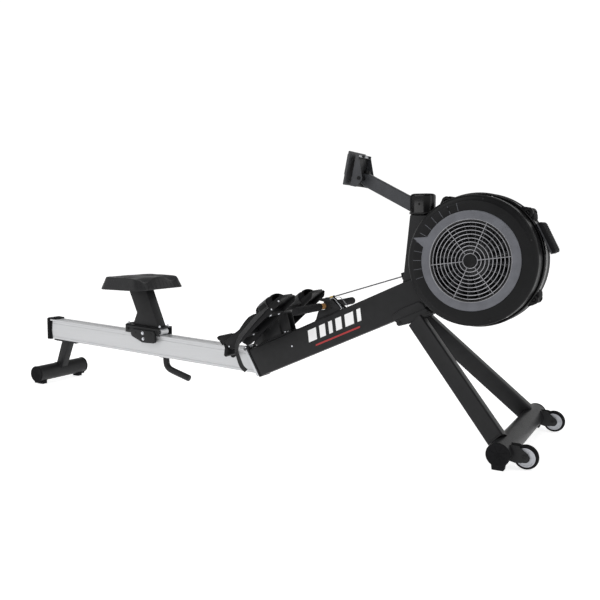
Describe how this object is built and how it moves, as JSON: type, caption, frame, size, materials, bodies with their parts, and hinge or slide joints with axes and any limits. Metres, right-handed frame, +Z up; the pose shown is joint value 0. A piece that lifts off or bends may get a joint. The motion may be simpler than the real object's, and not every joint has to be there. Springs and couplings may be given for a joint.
{
  "type": "rowing machine",
  "caption": "Air-resistance rowing machine with a fan drum on a sloping beam, hinged aluminium rail, sliding seat, foot stretchers, chain handle and tilting console.",
  "frame": {"origin": "centre of the footprint box, on the floor", "axes": "+X forward along the machine to the fan, +Y to the rower's left, +Z up"},
  "size_m": [2.445, 0.622, 1.0631],
  "materials": {
    "painted_steel": "fine textured powder coat",
    "grey_metal": "satin grey paint",
    "black_plastic": "moulded, fine grain",
    "grey_plastic": "satin grey moulding",
    "gloss_plastic": "glossy black",
    "aluminium": "anodised, satin",
    "steel": "bright",
    "rubber": "matt",
    "foam": "closed-cell foam, matt",
    "seat_foam": "moulded foam skin, matt",
    "wood": "clear varnish",
    "brass": "satin",
    "webbing": "woven",
    "screen": "blank grey-green display",
    "nylon": "smooth"
  },
  "bodies": {
    "frame": {"main_beam": "painted_steel", "beam_end_plate": "painted_steel", "hinge_pin": "steel", "leg_saddle": "painted_steel", "leg_right": "painted_steel", "leg_left": "painted_steel", "front_crossbar": "painted_steel", "front_cap_right": "rubber", "front_cap_left": "rubber", "fan_post": "painted_steel", "chain_guide": "black_plastic", "post_cap": "gloss_plastic", "monitor_arm": "painted_steel", "fan_shell_right": "black_plastic", "fan_shell_left": "black_plastic", "fan_band": "gloss_plastic", "fan_grille": "grey_plastic", "fan_axle": "steel", "front_bumper": "black_plastic", "handle_holder": "painted_steel", "return_bungee": "webbing", "foot_bracket": "painted_steel", "footboard_right": "black_plastic", "footboard_left": "black_plastic", "toe_strap_right": "webbing", "toe_strap_left": "webbing"},
    "wheel_right": {"transport_wheel_right": "rubber"},
    "wheel_left": {"transport_wheel_left": "rubber"},
    "console": {"console_housing": "black_plastic", "console_screen": "screen", "console_bracket": "grey_metal", "tilt_knob": "black_plastic"},
    "button_menu": {"button_menu": "rubber"},
    "button_select": {"button_select": "rubber"},
    "button_power": {"button_power": "rubber"},
    "damper": {"damper_ring": "grey_plastic"},
    "fan": {"fan_wheel": "black_plastic"},
    "sprocket": {"drive_sprocket": "steel"},
    "handle": {"handle_bar": "wood", "grip_right": "foam", "grip_left": "foam", "chain_swivel": "brass", "pull_chain": "steel"},
    "heel_right": {"heel_cup_right": "black_plastic"},
    "heel_left": {"heel_cup_left": "black_plastic"},
    "rail": {"rail": "aluminium", "rail_end_plate": "aluminium", "rail_end_cap": "rubber", "rear_foot": "painted_steel", "rear_cap_right": "rubber", "rear_cap_left": "rubber", "lift_handle": "painted_steel"},
    "lock": {"lock_pin": "black_plastic"},
    "seat": {"seat_pad": "seat_foam", "seat_post": "painted_steel", "seat_carriage": "painted_steel"},
    "roller_rear": {"roller_rear": "nylon"},
    "roller_front": {"roller_front": "nylon"},
    "guide_right": {"guide_roller_right": "nylon"},
    "guide_left": {"guide_roller_left": "nylon"}
  },
  "joints": [
    {"name": "rail_fold", "type": "hinge", "parent": "frame", "child": "rail", "pos_m": [-0.03125, 0, 0.26503], "axis": [0, -1, 0], "range_deg": [-85, 0]},
    {"name": "seat_slide", "type": "slide", "parent": "rail", "child": "seat", "axis": [0.999, 0, -0.0447], "range_m": [-0.475, 0.4]},
    {"name": "rail_lock", "type": "slide", "parent": "rail", "child": "lock", "axis": [0, -1, 0], "range_m": [0, 0.01], "stiffness_N_per_m": 400, "springref_m": -0.004},
    {"name": "handle_pull", "type": "slide", "parent": "frame", "child": "handle", "axis": [-0.848, 0, 0.5299], "range_m": [0, 1.15], "deforming": ["pull_chain"]},
    {"name": "sprocket_spin", "type": "hinge", "parent": "frame", "child": "sprocket", "pos_m": [0.9445, 0, 0.66], "axis": [0, -1, 0], "continuous": true},
    {"name": "fan_spin", "type": "hinge", "parent": "frame", "child": "fan", "pos_m": [0.9445, 0, 0.66], "axis": [0, -1, 0], "continuous": true},
    {"name": "damper_turn", "type": "hinge", "parent": "frame", "child": "damper", "pos_m": [0.9445, -0.12, 0.66], "axis": [0, -1, 0], "range_deg": [-53, 37]},
    {"name": "console_tilt", "type": "hinge", "parent": "frame", "child": "console", "pos_m": [0.4951, 0, 0.9587], "axis": [0, 1, 0], "range_deg": [-28, 28]},
    {"name": "wheel_right_spin", "type": "hinge", "parent": "frame", "child": "wheel_right", "pos_m": [1.1825, -0.2519, 0.0422], "axis": [0, 1, 0], "continuous": true},
    {"name": "wheel_left_spin", "type": "hinge", "parent": "frame", "child": "wheel_left", "pos_m": [1.1825, 0.2519, 0.0422], "axis": [0, 1, 0], "continuous": true},
    {"name": "heel_right_slide", "type": "slide", "parent": "frame", "child": "heel_right", "axis": [0.7923, 0, 0.6101], "range_m": [-0.035, 0.05]},
    {"name": "heel_left_slide", "type": "slide", "parent": "frame", "child": "heel_left", "axis": [0.7923, 0, 0.6101], "range_m": [-0.035, 0.05]},
    {"name": "press_menu", "type": "slide", "parent": "console", "child": "button_menu", "axis": [0.9823, 0, -0.1874], "range_m": [0, 0.0015], "stiffness_N_per_m": 600, "springref_m": -0.0008},
    {"name": "press_select", "type": "slide", "parent": "console", "child": "button_select", "axis": [0.9823, 0, -0.1874], "range_m": [0, 0.0015], "stiffness_N_per_m": 600, "springref_m": -0.0008},
    {"name": "press_power", "type": "slide", "parent": "console", "child": "button_power", "axis": [0.9823, 0, -0.1874], "range_m": [0, 0.0015], "stiffness_N_per_m": 600, "springref_m": -0.0008},
    {"name": "roller_rear_spin", "type": "hinge", "parent": "seat", "child": "roller_rear", "pos_m": [-0.6795, 0, 0.30097], "axis": [0, 1, 0], "continuous": true},
    {"name": "roller_front_spin", "type": "hinge", "parent": "seat", "child": "roller_front", "pos_m": [-0.5085, 0, 0.29333], "axis": [0, 1, 0], "continuous": true},
    {"name": "guide_right_spin", "type": "hinge", "parent": "seat", "child": "guide_right", "pos_m": [-0.5795, -0.034, 0.2649], "axis": [0, 1, 0], "continuous": true},
    {"name": "guide_left_spin", "type": "hinge", "parent": "seat", "child": "guide_left", "pos_m": [-0.5795, 0.034, 0.2649], "axis": [0, 1, 0], "continuous": true}
  ],
  "couplings": [
    {"joint": "sprocket_spin", "follows": "handle_pull", "rad_per_m": 49.26},
    {"joint": "roller_rear_spin", "follows": "seat_slide", "rad_per_m": 71.429},
    {"joint": "roller_front_spin", "follows": "seat_slide", "rad_per_m": 71.429},
    {"joint": "guide_right_spin", "follows": "seat_slide", "rad_per_m": -111.11},
    {"joint": "guide_left_spin", "follows": "seat_slide", "rad_per_m": -111.11}
  ]
}
